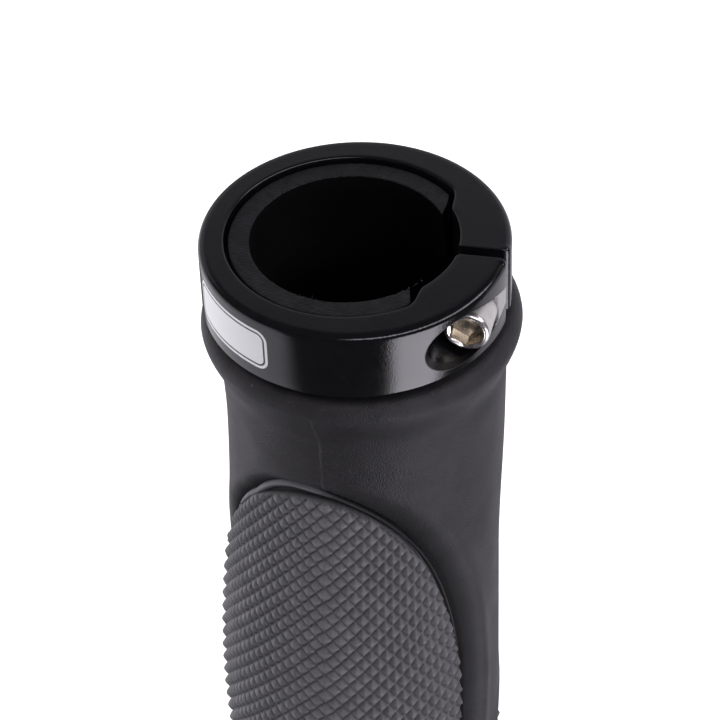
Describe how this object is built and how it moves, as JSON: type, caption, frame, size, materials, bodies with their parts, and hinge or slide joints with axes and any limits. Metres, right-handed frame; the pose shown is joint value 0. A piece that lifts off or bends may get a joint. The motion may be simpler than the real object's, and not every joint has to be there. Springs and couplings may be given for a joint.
{
  "type": "bicycle handlebar grip",
  "caption": "Rubber bicycle handlebar grip on a plastic core, with knurled grey pads, a closed outer end and a black split clamp collar.",
  "frame": {"origin": "centre of the flat outer end face that the grip stands on", "axes": "+Z along the grip from the closed outer end to the collar's top face; +X through the middle of the collar's split; the screw lies along Y with its head towards -Y"},
  "size_m": [0.036, 0.0361, 0.13],
  "materials": {
    "body_rubber": "matt, finely grained",
    "pad_rubber": "matt grey, knurled",
    "core_plastic": "satin, with a rough sawn end",
    "anodised_aluminium": "gloss black anodised",
    "bright_steel": "bright"
  },
  "bodies": {
    "root": {"rubber_body": "body_rubber", "palm_pad": "pad_rubber", "finger_pad": "pad_rubber", "core_sleeve": "core_plastic", "clamp_collar": "anodised_aluminium", "clamp_screw": "bright_steel"}
  },
  "joints": []
}
